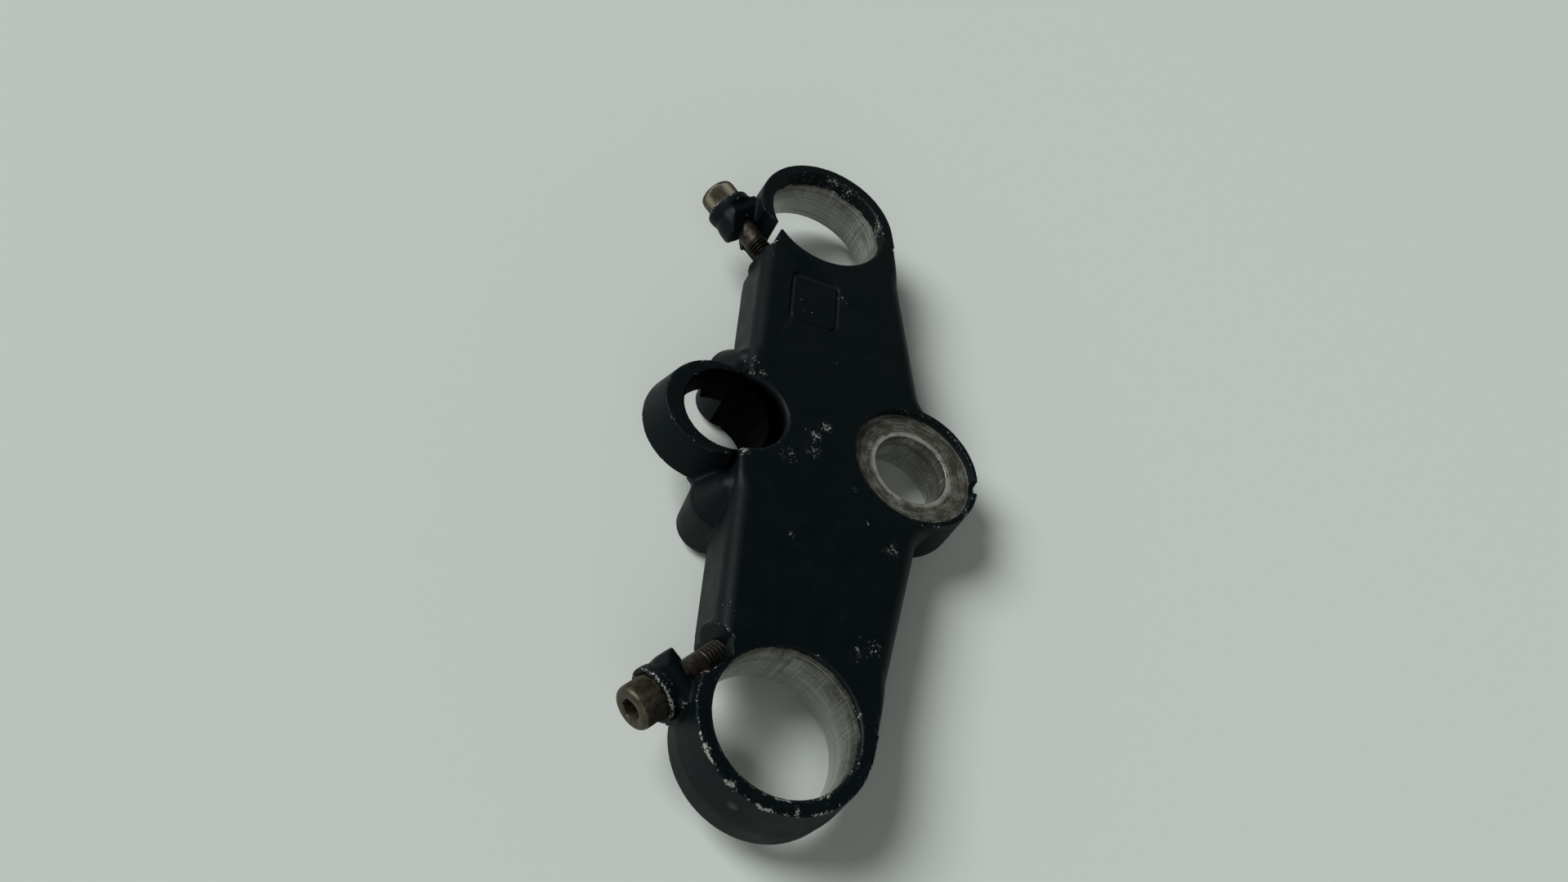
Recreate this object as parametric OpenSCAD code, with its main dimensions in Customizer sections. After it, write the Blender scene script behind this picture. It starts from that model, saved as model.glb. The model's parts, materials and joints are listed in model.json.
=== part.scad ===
// Upper fork clamp of a motorcycle steering head, cast in one piece,
// with the two socket screws that close its fork bores.
// Millimetres. Z runs up along the steering stem, X runs from fork to fork,
// Y runs forward to the lock ring. The origin is on the stem axis, at the
// seat of the stem nut. The modules below count heights from the underside of
// the clamp rings, and each node is lowered to that origin as it is drawn.

/* [Fork clamps] */
// Diameter of the fork tubes the two bores grip
fork_d = 43; // [38:0.5:46]
// Distance between the two fork axes
fork_spacing = 196.5; // [188:0.5:215]
// How far the fork axes sit forward of the stem axis
fork_offset = 36.7; // [34:0.1:40]
// Height of the clamp rings and of the bridge between them
clamp_height = 22; // [21:0.5:28]
// Wall of a clamp ring at its top face
ring_wall = 4.6; // [4:0.1:7]
// How much the ring grows from the top face to the parting line
draft_top = 1; // [0.4:0.1:2]
// How much it shrinks again from the parting line to the underside
draft_bottom = 0.4; // [0.1:0.1:1.2]
// Height of the parting line above the underside
parting_height = 8.2; // [5:0.1:12]
// Chamfer at both ends of each fork bore
bore_chamfer = 0.7; // [0.3:0.1:1.2]

/* [Steering stem] */
// Diameter of the bore for the steering stem
stem_bore_d = 25.5; // [22:0.1:28]
// Outer diameter of the stem boss at its rim
stem_boss_d = 46.2; // [45:0.1:52]
// How much the boss radius grows down to its underside
stem_boss_draft = 1; // [0.2:0.1:2]
// Chamfer around the underside of the boss
stem_boss_chamfer = 3; // [1:0.1:4]
// Diameter of the counterbore for the stem nut and its washer
nut_seat_d = 42.5; // [36:0.1:43]
// Depth of that counterbore
nut_seat_depth = 3.1; // [1.5:0.1:5]
// Diameter of the wider relief under the stem bore
stem_relief_d = 31; // [29:0.5:36]
// Height of that relief above the underside
stem_relief_depth = 5.5; // [2:0.1:8]
// Width of the drain notch through the rim
notch_w = 4.6; // [3:0.1:7]
// Sideways offset of the drain notch
notch_x = -1.3; // [-3:0.1:3]
// How far the notch reaches inward from the edge of the counterbore
notch_inward = 3.45; // [1:0.05:5]
// How far the notch lies below the floor of the counterbore
notch_drop = 0.3; // [0.1:0.1:1]

/* [Bridge] */
// Slope angle of the rear wall, from the stem boss out to each ring
rear_slope = 10.16; // [8:0.01:12]
// Distance of the front wall from the stem axis
front_wall_y = 59.3; // [58:0.1:61]
// Radius of the rolled upper edges of the bridge
edge_roll = 5; // [2:0.1:6]
// Radius of the hollow corner between stem boss and rear wall
boss_fillet = 14; // [10:0.5:18]
// Thickness of the top skin over the underside pockets
skin = 6; // [4:0.1:9]
// Thickness of the outer walls around the pockets
pocket_wall = 4.8; // [4:0.1:6]
// Thickness of the ribs between the pockets
rib = 4; // [3:0.1:6]
// Radius of the upright corners in the pockets
pocket_corner = 2.5; // [1:0.1:3.5]

/* [Lock ring] */
// Inner diameter of the ring around the steering lock
lock_bore_d = 29.4; // [28:0.1:31]
// Distance of the lock axis from the stem axis
lock_y = 63.6; // [61:0.1:66]
// How far back the relief in the top face sits from the lock axis
lock_relief_back = 4.7; // [2:0.1:6]
// Diameter of the relief, without its bevel
lock_relief_d = 27.4; // [24:0.1:28]
// Depth of that relief below the top face
lock_relief_depth = 6; // [4:0.1:8]
// Width of the bevel around the relief
lock_relief_bevel = 1; // [0.3:0.1:2]
// Outer diameter of the ring at its top
lock_ring_top_d = 35; // [34:0.1:38]
// Outer diameter of the ring at its underside
lock_ring_foot_d = 42.4; // [40:0.1:44]
// How far the ring's outside sits forward of the lock axis
lock_ring_shift = 3.3; // [1.5:0.1:4]
// How far the ring's top lies below the top face
lock_ring_drop = 2.6; // [1:0.1:4]
// Height of the ring's underside above the underside of the clamp
lock_ring_foot = 6.5; // [4:0.1:9]
// Width of the chamfer inside the ring's underside
lock_foot_chamfer = 3; // [1:0.1:3.5]
// Wall of the skirt behind the lock, between the two bolt bosses
lock_skirt_wall = 4.6; // [3:0.1:5.5]
// How far that skirt reaches below the underside of the clamp
lock_skirt_drop = 8; // [3:0.1:9]

/* [Lock bolt bosses] */
// Distance between the two bolt bosses
lobe_spacing = 50.6; // [48:0.1:54]
// Distance of the bosses from the stem axis
lobe_y = 58; // [56:0.1:60]
// Diameter of each boss at its foot
lobe_d = 18.6; // [16:0.1:20]
// How much the boss radius grows from its foot up to its shoulder
lobe_draft = 1.5; // [0.5:0.1:2]
// How far the bosses reach below the underside of the clamp
lobe_drop = 10.7; // [6:0.1:14]
// Height of the shoulder, where the bosses turn in, above the underside of the clamp
lobe_shoulder = 7; // [4:0.1:9]
// Height of the bosses' crown above the underside of the clamp
lobe_crown = 19; // [16:0.1:20]
// Radius of the rounded crown
lobe_tip_r = 5; // [3:0.1:6]
// Diameter of the tapped holes in the bosses
lobe_hole_d = 6.8; // [5:0.1:8]
// Depth of the tapped holes
lobe_hole_depth = 14; // [8:0.5:16]
// Thickness of the shelf that joins each boss to the ring
shelf_thickness = 3.5; // [2:0.1:5]
// How far the shelf's front edge lies forward of the bosses
shelf_front = 12; // [8:0.1:13]

/* [Pinch clamps] */
// Direction of the pinch screws, turned from the line between the forks
screw_angle = 43.7; // [42:0.1:45]
// Height of the screw axes above the underside
screw_height = 11.5; // [11:0.1:13]
// Space between a fork tube and the shank of its screw
screw_gap = 1.3; // [1:0.1:2.5]
// Width of the slot that opens each fork bore
slot_w = 3.4; // [2:0.1:4]
// Distance of the slot from the line across the screw, on the bridge side
slot_shift = 1.8; // [1:0.1:2.5]
// Depth of the slot's lips below the outside of the ring
slot_lip = 3.5; // [2:0.1:4]
// Distance from the line across the screw to the end face of the bridge
bridge_end = 2; // [1:0.1:3]
// Length of the bevel between the slot and that end face
bridge_bevel = 5.4; // [3:0.1:7]
// How far the bridge's front corner lies beyond the screw axis
bridge_corner = 6.2; // [5:0.1:8]
// Distance from the line across the screw to the inner face of the ear
ear_inner = 10.8; // [10:0.1:13]
// Distance from that line to the seat under the screw head
ear_seat = 23.2; // [22:0.1:25]
// Radius of the round ear around the screw
ear_r = 8.3; // [8:0.1:9]
// Height of the ear's flat top over the screw axis
ear_flat = 6.9; // [6:0.1:7.5]
// Distance of the ear's outer side from the screw axis
ear_out = 7.5; // [6.5:0.1:8]
// Distance of the ear's inner side from the screw axis
ear_in = 8; // [6.5:0.1:8]
// Length of the round boss at the seat end of the ear
ear_boss_l = 3.2; // [2:0.1:4]
// Width of the bevel on the ear's inner upper edge
ear_bevel_w = 5.8; // [3:0.1:7]
// Height of that bevel
ear_bevel_h = 4; // [2:0.1:5]
// Width of the bevel on the ear's inner lower edge
foot_bevel_w = 3.6; // [2:0.1:5]
// Height of that lower bevel
foot_bevel_h = 5; // [3:0.1:6]
// Width of the chamfer along the ear's outer upper edge
ear_chamfer = 3.1; // [1:0.1:4]
// Length of the round boss around the thread, at the end of the bridge
thread_boss_l = 16; // [10:0.5:20]
// Radius of that round boss
thread_boss_r = 8.8; // [8:0.1:9.5]
// Depth of the shallow spot face under the screw head
spot_face = 0.5; // [0.2:0.1:1]

/* [Pinch screws] */
// Nominal diameter of the screw shank
screw_d = 8; // [6:0.5:8]
// Diameter of the screw head
head_d = 13; // [12:0.1:14]
// Height of the screw head
head_h = 8; // [6:0.1:9]
// Chamfer around the top of the head
head_chamfer = 0.8; // [0.4:0.1:1.2]
// Size of the hexagon socket across its flats
socket_af = 6; // [5:0.1:7]
// Depth of the hexagon socket
socket_depth = 4; // [2:0.1:5]
// Length of the screw under its head
screw_l = 45; // [40:1:46]
// Length of the threaded part
thread_l = 28; // [22:1:30]
// How much thinner the modelled thread is than the shank
thread_drop = 0.25; // [0.1:0.05:0.5]
// Chamfer at the end of the thread
thread_chamfer = 1; // [0.5:0.1:1.5]
// Clearance of the screw in the ear
ear_clearance = 0.4; // [0.2:0.05:0.8]
// Clearance between the modelled thread and its hole in the bridge
thread_clearance = 0.05; // [0.02:0.01:0.15]
// Space left in the tapped hole beyond the end of the screw
hole_end_gap = 1.5; // [0.5:0.1:3]

/* [Badge recess] */
// Distance of the recess from the stem axis, towards the fork
badge_x = 55.2; // [50:0.1:58]
// Distance of the recess from the stem axis, forward
badge_y = 39.5; // [36:0.1:42]
// Length of the framed recess along the bridge
badge_l = 22.6; // [16:0.1:26]
// Width of the framed recess across the bridge
badge_w = 18; // [12:0.1:20]
// Radius of the corners inside the groove
badge_r = 1.8; // [0.5:0.1:4]
// Width of the groove
badge_groove = 1.2; // [0.6:0.1:2]
// Depth of the groove
badge_depth = 0.8; // [0.2:0.1:1.2]

/* [Hidden] */
$fn = 96;
paint_black = [0.07, 0.08, 0.09];
steel_brown = [0.30, 0.26, 0.20];
over = 1;
// How far a rounding reaches past a face that it would otherwise only graze.
graze = 0.01;
drill_tip = 2;
drill_point_r = 0.2;
fork_x = fork_spacing / 2;
fork_r = fork_d / 2;
ring_top_r = fork_r + ring_wall;
ring_mid_r = ring_top_r + draft_top;
ring_foot_r = ring_mid_r - draft_bottom;
boss_top_r = stem_boss_d / 2;
boss_foot_r = boss_top_r + stem_boss_draft;
seat_z = clamp_height - nut_seat_depth;
notch_in_r = nut_seat_d / 2 - notch_inward;
lock_r = lock_bore_d / 2;
relief_y = lock_y - lock_relief_back;
relief_r = lock_relief_d / 2;
lock_ring_r = lock_ring_foot_d / 2;
lock_ring_top = clamp_height - lock_ring_drop;
lock_ring_y = lock_y + lock_ring_shift;
skirt_r = lock_r + lock_skirt_wall;
lobe_x = lobe_spacing / 2;
lobe_r = lobe_d / 2;
screw_r = screw_d / 2;
screw_reach = fork_r + screw_gap + screw_r;
thread_r = screw_r - thread_drop;
tapped_r = thread_r + thread_clearance;
seat_a = ear_seat - spot_face;
hole_end = seat_a - screw_l - hole_end_gap;
slot_outer_b = ring_top_r - slot_lip;
pocket_top = clamp_height - skin;
// The rear wall touches each ring at this point, straight behind the fork axis.
rear_touch_x = fork_x + ring_top_r * sin(rear_slope);
rear_touch_y = fork_offset - ring_top_r * cos(rear_slope);

function rear_y(x) = rear_touch_y - (rear_touch_x - x) * tan(rear_slope);

// A point given along (a) and across (b) the screw, seen from the fork axis.
function ab(a, b) = [
    fork_x + a * cos(screw_angle) - b * sin(screw_angle),
    fork_offset + a * sin(screw_angle) + b * cos(screw_angle)
];

// Centre of the circle that touches both the boss's rim and the rear wall from
// outside. It is found on the line that runs boss_fillet behind the rear wall.
function hollow_centre() =
    let (
        reach = boss_top_r + boss_fillet,
        t = tan(rear_slope),
        c = rear_y(0) - boss_fillet / cos(rear_slope),
        qa = 1 + t * t,
        qb = 2 * t * c,
        qc = c * c - reach * reach,
        x = (-qb + sqrt(qb * qb - 4 * qa * qc)) / (2 * qa)
    )
    [x, x * t + c];

function unit(v) = v / norm(v);

// The point on the way from corner p to q where a rounding of radius r starts.
function round_start(p, q, other, r) =
    let (
        u = unit(q - p),
        w = unit(other - p),
        half = acos(u * w) / 2
    )
    p + u * r / tan(half);

// The centre of the rounding of radius r in the corner p between q and s.
function round_centre(p, q, s, r) =
    let (
        u = unit(q - p),
        w = unit(s - p),
        half = acos(u * w) / 2
    )
    p + unit(u + w) * r / sin(half);

module both_sides() {
    children();
    mirror([1, 0, 0])
        children();
}

// Puts its child on the screw axis: x along the screw, y away from the fork.
module on_screw() {
    translate([fork_x, fork_offset, screw_height])
        rotate([0, 0, screw_angle])
            translate([0, screw_reach, 0])
                children();
}

module along_a(from, to, r) {
    translate([from, 0, 0])
        rotate([0, 90, 0])
            cylinder(h = to - from, r = r);
}

// An upright prism over a convex outline, with its corners rounded.
module rounded_prism(points, r, h) {
    n = len(points);
    linear_extrude(height = h)
        polygon([
            for (i = [0 : n - 1])
                let (
                    p = points[i],
                    before = points[(i + n - 1) % n],
                    after = points[(i + 1) % n]
                )
                each [round_start(p, before, after, r), round_start(p, after, before, r)]
        ]);
    for (i = [0 : n - 1])
        translate(round_centre(points[i], points[(i + n - 1) % n], points[(i + 1) % n], r))
            cylinder(h = h, r = r + graze);
}

module fork_ring() {
    translate([fork_x, fork_offset, 0])
        cylinder(h = parting_height, r1 = ring_foot_r, r2 = ring_mid_r);
    translate([fork_x, fork_offset, parting_height])
        cylinder(h = clamp_height - parting_height, r1 = ring_mid_r, r2 = ring_top_r);
}

module bridge_half() {
    corner = ab(-bridge_end, screw_reach + bridge_corner);
    corner_run = 4.5;
    linear_extrude(height = clamp_height)
        polygon([
            [-over, rear_y(-over)],
            [rear_touch_x, rear_touch_y],
            [fork_x, fork_offset],
            ab(-bridge_end, fork_r - over),
            corner,
            [corner[0] - corner_run, front_wall_y],
            [-over, front_wall_y]
        ]);
}

// The hollow corner beside the stem boss: a wedge with a round bite.
module boss_corner() {
    c = hollow_centre();
    foot_x = c[0] - boss_fillet * sin(rear_slope);
    difference() {
        linear_extrude(height = clamp_height)
            polygon([
                [0, 0],
                c * boss_top_r / (boss_top_r + boss_fillet),
                c,
                [foot_x, rear_y(foot_x)],
                [c[0], rear_y(c[0]) + edge_roll + over]
            ]);
        translate([c[0], c[1], -over])
            cylinder(h = clamp_height + 2 * over, r = boss_fillet + graze);
    }
}

// Rolls the upper edge of that hollow corner, all the way round its circle.
module boss_corner_roll() {
    c = hollow_centre();
    translate([c[0], c[1], clamp_height - edge_roll])
        difference() {
            cylinder(h = edge_roll + over, r = boss_fillet + edge_roll);
            rotate_extrude()
                translate([boss_fillet + edge_roll, 0])
                    circle(r = edge_roll + graze);
        }
}

module stem_boss() {
    translate([0, 0, stem_boss_chamfer])
        cylinder(h = clamp_height - stem_boss_chamfer, r1 = boss_foot_r, r2 = boss_top_r);
    cylinder(h = stem_boss_chamfer, r1 = boss_foot_r - stem_boss_chamfer, r2 = boss_foot_r);
}

module lock_ring() {
    translate([0, lock_ring_y, lock_ring_foot])
        cylinder(
            h = lock_ring_top - lock_ring_foot,
            d1 = lock_ring_foot_d,
            d2 = lock_ring_top_d
        );
}

// The wall behind the lock, hanging between the two bolt bosses.
module lock_skirt() {
    translate([0, lock_y, -lock_skirt_drop])
        difference() {
            cylinder(h = lock_skirt_drop + over, r = skirt_r);
            translate([-skirt_r - over, lobe_y - lock_y, -over])
                cube([2 * (skirt_r + over), 2 * skirt_r, lock_skirt_drop + 3 * over]);
        }
}

// The shelf that joins a bolt boss to the side of the ring.
module lobe_shelf() {
    shelf_top = lock_ring_foot + over;
    front_y = lobe_y + shelf_front;
    corner_cut = 1.8;
    translate([0, 0, shelf_top - shelf_thickness])
        linear_extrude(height = shelf_thickness)
            polygon([
                [lock_r - over, lobe_y - lobe_r / 2],
                [lock_r - over, front_y],
                [lock_ring_r - corner_cut, front_y],
                [lock_ring_r, front_y - corner_cut],
                [lobe_x, lobe_y + lobe_r],
                [lobe_x, lobe_y]
            ]);
}

// A boss that widens up to its shoulder and then slopes in to a round crown.
module lock_lobe() {
    shoulder_r = lobe_r + lobe_draft;
    tip_z = lobe_crown - lobe_tip_r;
    slope_end = 35;
    slope_top = tip_z + lobe_tip_r * sin(slope_end);
    translate([lobe_x, lobe_y, -lobe_drop])
        cylinder(h = lobe_drop + lobe_shoulder, r1 = lobe_r, r2 = shoulder_r);
    translate([lobe_x, lobe_y, lobe_shoulder])
        cylinder(
            h = slope_top - lobe_shoulder,
            r1 = shoulder_r,
            r2 = lobe_tip_r * cos(slope_end) - over / 5
        );
    translate([lobe_x, lobe_y, tip_z])
        sphere(r = lobe_tip_r);
}

// A wedge along y that bevels one edge of the ear, cut from the corner at 0.
module ear_bevel(w, h) {
    reach = ear_in + ear_out + 2 * over;
    rotate([90, 0, 0])
        linear_extrude(height = 2 * reach, center = true)
            polygon([
                [-over, over],
                [-over, -h],
                [0, -h],
                [w, 0],
                [w, over]
            ]);
}

// One ear: round below, flat on top, with a round boss under the screw head.
module ear() {
    boss_start = ear_seat - ear_boss_l;
    flat_end = boss_start + over / 2;
    flat_l = flat_end - ear_inner;
    on_screw() {
        along_a(boss_start, ear_seat, ear_r);
        difference() {
            union() {
                along_a(ear_inner, flat_end, ear_r);
                translate([ear_inner, -ear_in, -ear_r])
                    cube([flat_l, ear_in, 2 * ear_r]);
                translate([ear_inner, -ear_in, 0])
                    cube([flat_l, ear_in + ear_out, ear_flat]);
            }
            translate([ear_inner - over, -ear_in - over, ear_flat])
                cube([flat_l + 2 * over, ear_in + ear_r + 2 * over, ear_r]);
            translate([ear_inner - over, ear_out, ear_flat - ear_chamfer])
                rotate([45, 0, 0])
                    cube([flat_l + 2 * over, ear_r, ear_r]);
            translate([ear_inner, 0, ear_flat])
                ear_bevel(ear_bevel_w, ear_bevel_h);
            translate([ear_inner, 0, -ear_r])
                mirror([0, 0, 1])
                    ear_bevel(foot_bevel_w, foot_bevel_h);
        }
    }
}

// The round boss around the thread, at the end of the bridge.
module thread_boss() {
    on_screw()
        along_a(-bridge_end - thread_boss_l, -bridge_end, thread_boss_r);
}

// The slot into the bore and the open space the screw crosses.
module pinch_gap() {
    outside = screw_reach + 2 * thread_boss_r;
    translate([0, 0, -over])
        linear_extrude(height = clamp_height + 2 * over)
            polygon([
                ab(slot_shift, fork_r - 2 * slot_w),
                ab(slot_shift + slot_w, fork_r - 2 * slot_w),
                ab(slot_shift + slot_w, slot_outer_b),
                ab(ear_inner, slot_outer_b),
                ab(ear_inner, outside),
                ab(-bridge_end, outside),
                ab(-bridge_end, slot_outer_b + bridge_bevel),
                ab(slot_shift, slot_outer_b)
            ]);
}

module screw_holes() {
    on_screw() {
        along_a(ear_inner - over, ear_seat + over, screw_r + ear_clearance);
        along_a(seat_a, ear_seat + over, head_d / 2 + ear_clearance);
        along_a(hole_end, -bridge_end + over, tapped_r);
        translate([hole_end, 0, 0])
            rotate([0, -90, 0])
                cylinder(h = drill_tip, r1 = tapped_r, r2 = drill_point_r);
    }
}

module fork_bore() {
    translate([fork_x, fork_offset, -over])
        cylinder(h = clamp_height + 2 * over, r = fork_r);
    translate([fork_x, fork_offset, clamp_height - bore_chamfer])
        cylinder(h = bore_chamfer + over, r1 = fork_r, r2 = fork_r + bore_chamfer + over);
    translate([fork_x, fork_offset, -over])
        cylinder(h = bore_chamfer + over, r1 = fork_r + bore_chamfer + over, r2 = fork_r);
}

module stem_hole() {
    notch_z = seat_z - notch_drop;
    translate([0, 0, -over])
        cylinder(h = clamp_height + 2 * over, d = stem_bore_d);
    translate([0, 0, seat_z])
        cylinder(h = nut_seat_depth + over, d = nut_seat_d);
    translate([0, 0, -over])
        cylinder(h = stem_relief_depth + over, d = stem_relief_d);
    translate([notch_x - notch_w / 2, -boss_foot_r - over, notch_z])
        cube([notch_w, boss_foot_r + over - notch_in_r, clamp_height - notch_z + over]);
}

module lock_opening() {
    relief_z = clamp_height - lock_relief_depth;
    translate([0, lock_y, -lock_skirt_drop - over])
        cylinder(h = lock_skirt_drop + clamp_height + 2 * over, r = lock_r);
    translate([0, relief_y, relief_z])
        cylinder(h = lock_relief_depth + over, r = relief_r);
    translate([-relief_r, relief_y, relief_z])
        cube([2 * relief_r, lock_relief_back, lock_relief_depth + over]);
    translate([0, relief_y, clamp_height - lock_relief_bevel])
        cylinder(
            h = lock_relief_bevel + over,
            r1 = relief_r,
            r2 = relief_r + lock_relief_bevel + over
        );
    translate([-lock_ring_r, front_wall_y, lock_ring_top])
        cube([2 * lock_ring_r, 2 * lock_ring_r, clamp_height]);
    // The ring's underside rises towards the bore, in front of the bosses.
    intersection() {
        translate([0, lock_y, lock_ring_foot - over])
            cylinder(
                h = lock_foot_chamfer + over,
                r1 = lock_r + lock_foot_chamfer + over,
                r2 = lock_r
            );
        translate([-lock_ring_r, lobe_y + lobe_r, 0])
            cube([2 * lock_ring_r, 2 * lock_ring_r, clamp_height]);
    }
}

module lobe_hole() {
    translate([lobe_x, lobe_y, -lobe_drop - over])
        cylinder(h = lobe_hole_depth + over, d = lobe_hole_d);
    translate([lobe_x, lobe_y, lobe_hole_depth - lobe_drop])
        cylinder(h = drill_tip, r1 = lobe_hole_d / 2, r2 = drill_point_r);
}

module pocket(points) {
    translate([0, 0, -over])
        rounded_prism(points, pocket_corner, pocket_top + over);
}

// Five pockets lighten each half of the underside and leave ribs between them.
module half_pockets() {
    half_rib = rib / 2;
    wall_step = pocket_wall / cos(rear_slope);
    in_x = boss_foot_r + pocket_wall;
    out_x = fork_x - ring_mid_r - pocket_wall;
    mid_x = (in_x + out_x) / 2;
    front_in = front_wall_y - pocket_wall;
    mid_y = (rear_y(mid_x) + wall_step + front_in) / 2;
    screw_side = ab(hole_end - drill_tip, screw_reach + tapped_r)[0] - half_rib;
    lobe_side = lobe_r + lobe_draft + rib;
    pocket([
        [in_x, rear_y(in_x) + wall_step],
        [mid_x - half_rib, rear_y(mid_x - half_rib) + wall_step],
        [mid_x - half_rib, mid_y - half_rib],
        [in_x, mid_y - half_rib]
    ]);
    pocket([
        [mid_x + half_rib, rear_y(mid_x + half_rib) + wall_step],
        [out_x + rib, rear_y(out_x + rib) + wall_step],
        [out_x, mid_y - half_rib],
        [mid_x + half_rib, mid_y - half_rib]
    ]);
    pocket([
        [in_x, mid_y + half_rib],
        [mid_x - half_rib, mid_y + half_rib],
        [mid_x - half_rib, front_in],
        [lobe_x + lobe_side, front_in],
        [in_x, lobe_y - lobe_side]
    ]);
    pocket([
        [mid_x + half_rib, mid_y + half_rib],
        [screw_side + half_rib, mid_y + half_rib],
        [screw_side, front_in],
        [mid_x + half_rib, front_in]
    ]);
    difference() {
        pocket([
            [half_rib, 0],
            [in_x - rib, 0],
            [in_x - rib, lock_y - skirt_r - 2 * rib],
            [half_rib, lock_y - skirt_r - 2 * rib]
        ]);
        translate([0, 0, -2 * over])
            cylinder(h = clamp_height, r = boss_foot_r);
    }
}

// Rounds one straight upper edge. The edge runs along x; material lies at +y.
module edge_cut(edge_l) {
    translate([-over, -over, -edge_roll])
        difference() {
            cube([edge_l + 2 * over, edge_roll + over, edge_roll + over]);
            translate([-over, edge_roll + over, 0])
                rotate([0, 90, 0])
                    cylinder(h = edge_l + 4 * over, r = edge_roll + graze);
        }
}

// The roll starts at the hollow corner and runs out just before the ring.
module rear_edge() {
    run_out = 8;
    start_x = hollow_centre()[0] - boss_fillet * sin(rear_slope);
    translate([start_x, rear_y(start_x), clamp_height])
        rotate([0, 0, rear_slope])
            edge_cut((rear_touch_x - start_x) / cos(rear_slope) - run_out);
}

module front_edge() {
    start_x = relief_r - over;
    end_x = ab(-bridge_end, screw_reach + bridge_corner)[0] + 2 * over;
    translate([end_x, front_wall_y, clamp_height])
        rotate([0, 0, 180])
            edge_cut(end_x - start_x);
}

module rounded_plate(l, w, r, h) {
    translate([-l / 2 + r, -w / 2, 0])
        cube([l - 2 * r, w, h]);
    translate([-l / 2, -w / 2 + r, 0])
        cube([l, w - 2 * r, h]);
    for (sx = [-1, 1])
        for (sy = [-1, 1])
            translate([sx * (l / 2 - r), sy * (w / 2 - r), 0])
                cylinder(h = h, r = r);
}

module badge_recess() {
    translate([badge_x, badge_y, clamp_height - badge_depth])
        difference() {
            rounded_plate(badge_l, badge_w, badge_r + badge_groove, badge_depth + over);
            translate([0, 0, -over])
                rounded_plate(
                    badge_l - 2 * badge_groove,
                    badge_w - 2 * badge_groove,
                    badge_r,
                    badge_depth + 3 * over
                );
        }
}

module casting_at_underside() {
    color(paint_black)
        difference() {
            union() {
                difference() {
                    union() {
                        both_sides()
                            bridge_half();
                        both_sides()
                            boss_corner();
                    }
                    both_sides()
                        rear_edge();
                    both_sides()
                        boss_corner_roll();
                    both_sides()
                        front_edge();
                    both_sides()
                        half_pockets();
                }
                both_sides()
                    fork_ring();
                stem_boss();
                lock_ring();
                lock_skirt();
                both_sides()
                    lobe_shelf();
                both_sides()
                    lock_lobe();
                both_sides()
                    thread_boss();
                both_sides()
                    ear();
            }
            both_sides()
                pinch_gap();
            both_sides()
                screw_holes();
            both_sides()
                fork_bore();
            stem_hole();
            lock_opening();
            both_sides()
                lobe_hole();
            badge_recess();
        }
}

module yoke_casting() {
    translate([0, 0, -seat_z])
        casting_at_underside();
}

// One socket screw: head on the seat, shank through the ear, thread in the bridge.
module pinch_screw() {
    thread_end = seat_a - screw_l;
    head_top = seat_a + head_h;
    color(steel_brown)
        on_screw()
            difference() {
                union() {
                    along_a(seat_a, head_top - head_chamfer, head_d / 2);
                    translate([head_top - head_chamfer, 0, 0])
                        rotate([0, 90, 0])
                            cylinder(
                                h = head_chamfer,
                                r1 = head_d / 2,
                                r2 = head_d / 2 - head_chamfer
                            );
                    along_a(thread_end + thread_l, seat_a, screw_r);
                    along_a(thread_end + thread_chamfer, thread_end + thread_l, thread_r);
                    translate([thread_end, 0, 0])
                        rotate([0, 90, 0])
                            cylinder(
                                h = thread_chamfer,
                                r1 = thread_r - thread_chamfer,
                                r2 = thread_r
                            );
                }
                translate([head_top - socket_depth, 0, 0])
                    rotate([0, 90, 0])
                        cylinder(
                            h = socket_depth + over,
                            r = socket_af / 2 / cos(30),
                            $fn = 6
                        );
            }
}

module pinch_screw_right() {
    translate([0, 0, -seat_z])
        pinch_screw();
}

module pinch_screw_left() {
    translate([0, 0, -seat_z])
        mirror([1, 0, 0])
            pinch_screw();
}

yoke_casting();
pinch_screw_left();
pinch_screw_right();
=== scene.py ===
# %% [markdown]
# # An upper fork clamp in black enamel
# The clamp holds the two fork tubes of a motorcycle to its steering stem. It is one
# aluminium casting, enamelled black, with bores cut after casting and two socket screws
# that close the fork bores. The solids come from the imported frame. This script dresses
# them: it rounds the casting as a sand mould and a coat of enamel do, cuts real threads
# and knurling on the screws, and gives each surface the finish it has after years of use.

# %% Load the frame and keep its box
import json
import math

import bpy
import numpy as np
from mathutils import Matrix, Vector, kdtree


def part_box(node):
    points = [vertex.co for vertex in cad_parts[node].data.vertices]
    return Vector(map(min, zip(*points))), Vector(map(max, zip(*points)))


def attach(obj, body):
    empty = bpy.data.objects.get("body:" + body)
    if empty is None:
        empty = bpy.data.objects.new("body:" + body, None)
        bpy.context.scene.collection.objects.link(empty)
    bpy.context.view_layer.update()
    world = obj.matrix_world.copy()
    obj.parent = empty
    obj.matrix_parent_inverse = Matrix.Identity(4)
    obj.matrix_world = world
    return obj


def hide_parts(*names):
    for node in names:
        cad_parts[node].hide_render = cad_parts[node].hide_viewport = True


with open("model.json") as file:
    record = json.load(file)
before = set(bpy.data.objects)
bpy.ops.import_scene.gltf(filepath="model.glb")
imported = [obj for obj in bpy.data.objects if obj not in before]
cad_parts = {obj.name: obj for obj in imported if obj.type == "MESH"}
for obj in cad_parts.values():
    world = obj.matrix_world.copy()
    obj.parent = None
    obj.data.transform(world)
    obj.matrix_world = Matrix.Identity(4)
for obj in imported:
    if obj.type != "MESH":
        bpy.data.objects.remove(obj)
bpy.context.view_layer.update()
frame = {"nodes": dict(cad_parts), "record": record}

MM = 0.001
mounts = {m["name"]: m for m in frame["record"]["mounts"]}
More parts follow.
